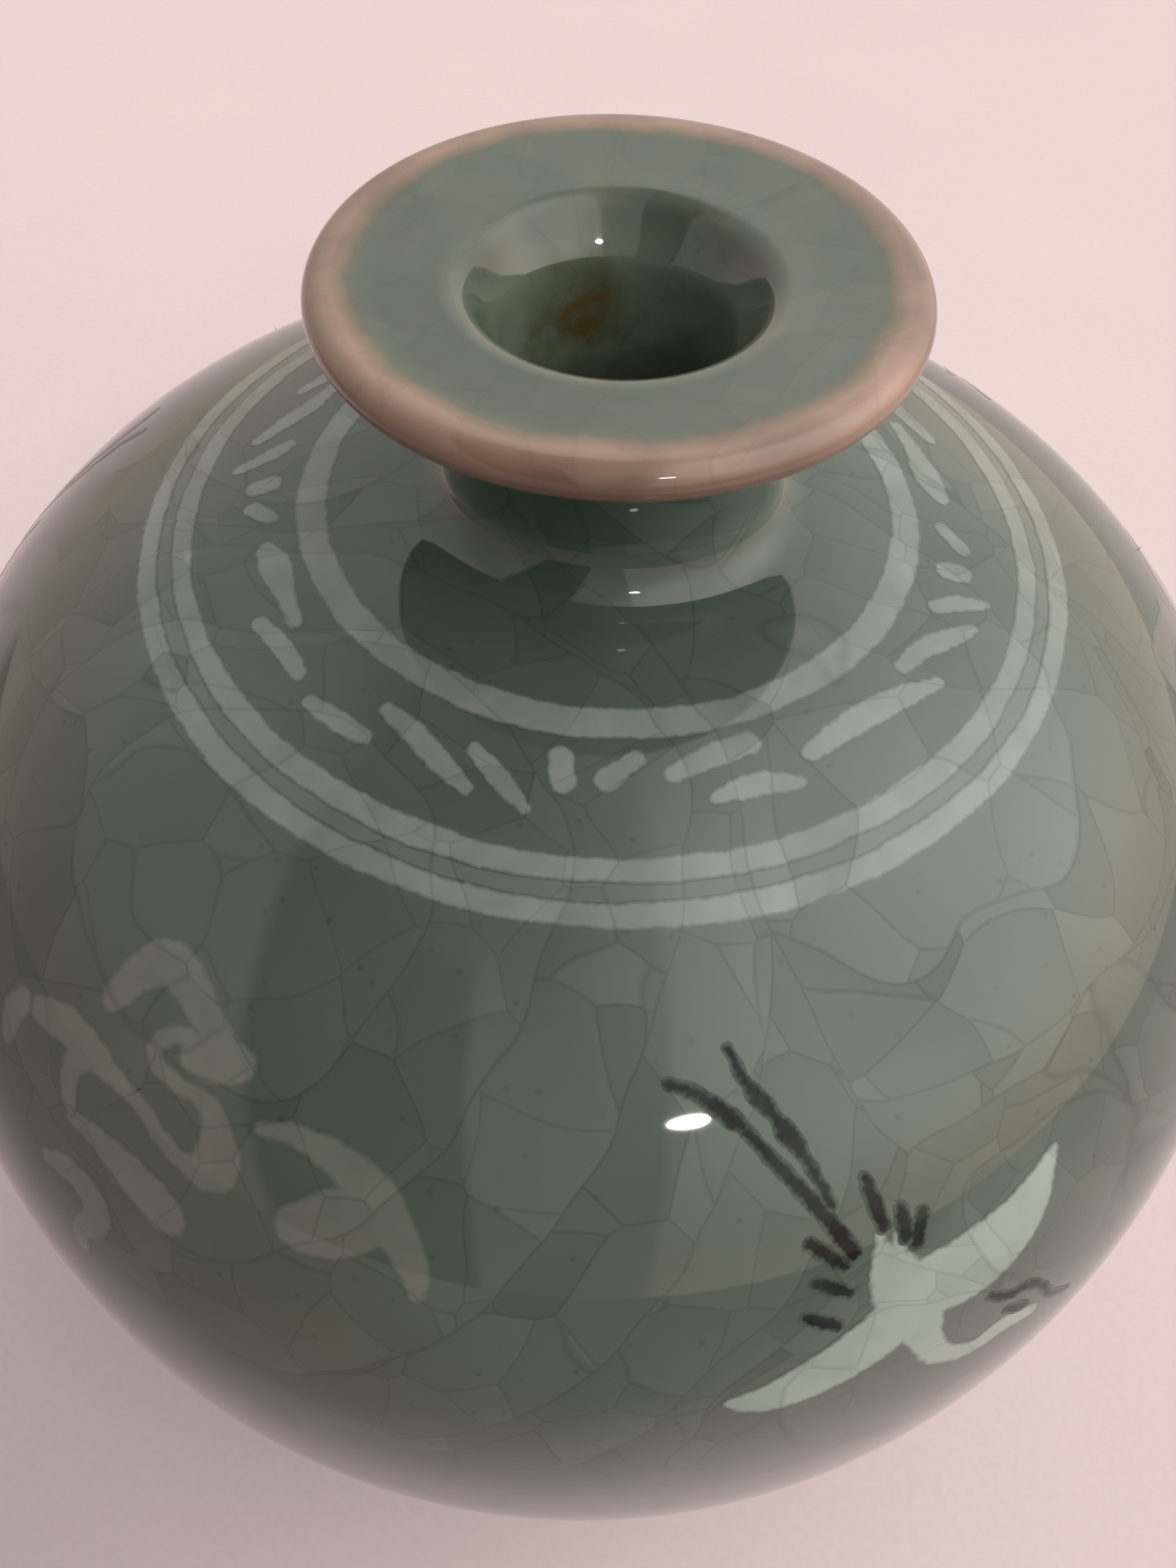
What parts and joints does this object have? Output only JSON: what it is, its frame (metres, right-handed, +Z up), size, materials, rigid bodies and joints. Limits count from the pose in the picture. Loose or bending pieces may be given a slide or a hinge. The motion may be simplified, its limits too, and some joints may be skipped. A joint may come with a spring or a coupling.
{
  "type": "vase",
  "caption": "Round celadon bottle vase with a short neck and flared mouth, inlaid with slip rings, leaf sprigs, cranes and clouds on the shoulder.",
  "frame": {"origin": "centre of the foot ring, on the surface that the vase stands on", "axes": "+Z up along the turning axis; -Y is the front as pictured, +X to its right; the neck leans 1.5 degrees towards -X"},
  "size_m": [0.1076, 0.1076, 0.1045],
  "materials": {
    "celadon_glazed_clay": "glossy crackled celadon glaze over grey stoneware",
    "white_slip": "white slip seen through the glaze",
    "black_slip": "black slip seen through the glaze"
  },
  "bodies": {
    "root": {"cloud_1_comma": "white_slip", "cloud_1_leaf": "white_slip", "cloud_1_scroll": "white_slip", "cloud_1_tail": "white_slip", "cloud_2_comma": "white_slip", "cloud_2_leaf": "white_slip", "cloud_2_scroll": "white_slip", "cloud_2_tail": "white_slip", "cloud_3_comma": "white_slip", "cloud_3_leaf": "white_slip", "cloud_3_scroll": "white_slip", "cloud_3_tail": "white_slip", "crane_1_crest": "black_slip", "crane_1_legs": "black_slip", "crane_1_tail_feather": "black_slip", "crane_1_white": "white_slip", "crane_1_wing_feathers": "black_slip", "crane_2_crest": "black_slip", "crane_2_legs": "black_slip", "crane_2_tail_feather": "black_slip", "crane_2_white": "white_slip", "crane_2_wing_feathers": "black_slip", "crane_3_crest": "black_slip", "crane_3_legs": "black_slip", "crane_3_tail_feather": "black_slip", "crane_3_white": "white_slip", "crane_3_wing_feathers": "black_slip", "leaf_1_1": "white_slip", "leaf_1_2": "white_slip", "leaf_1_3": "white_slip", "leaf_1_4": "white_slip", "leaf_1_5": "white_slip", "leaf_1_6": "white_slip", "leaf_1_7": "white_slip", "leaf_2_1": "white_slip", "leaf_2_2": "white_slip", "leaf_2_3": "white_slip", "leaf_2_4": "white_slip", "leaf_2_5": "white_slip", "leaf_2_6": "white_slip", "leaf_2_7": "white_slip", "leaf_3_1": "white_slip", "leaf_3_2": "white_slip", "leaf_3_3": "white_slip", "leaf_3_4": "white_slip", "leaf_3_5": "white_slip", "leaf_3_6": "white_slip", "leaf_3_7": "white_slip", "leaf_4_1": "white_slip", "leaf_4_2": "white_slip", "leaf_4_3": "white_slip", "leaf_4_4": "white_slip", "leaf_4_5": "white_slip", "leaf_4_6": "white_slip", "leaf_4_7": "white_slip", "ring_inner": "white_slip", "ring_middle": "white_slip", "ring_outer": "white_slip", "vase_body": "celadon_glazed_clay"}
  },
  "joints": []
}
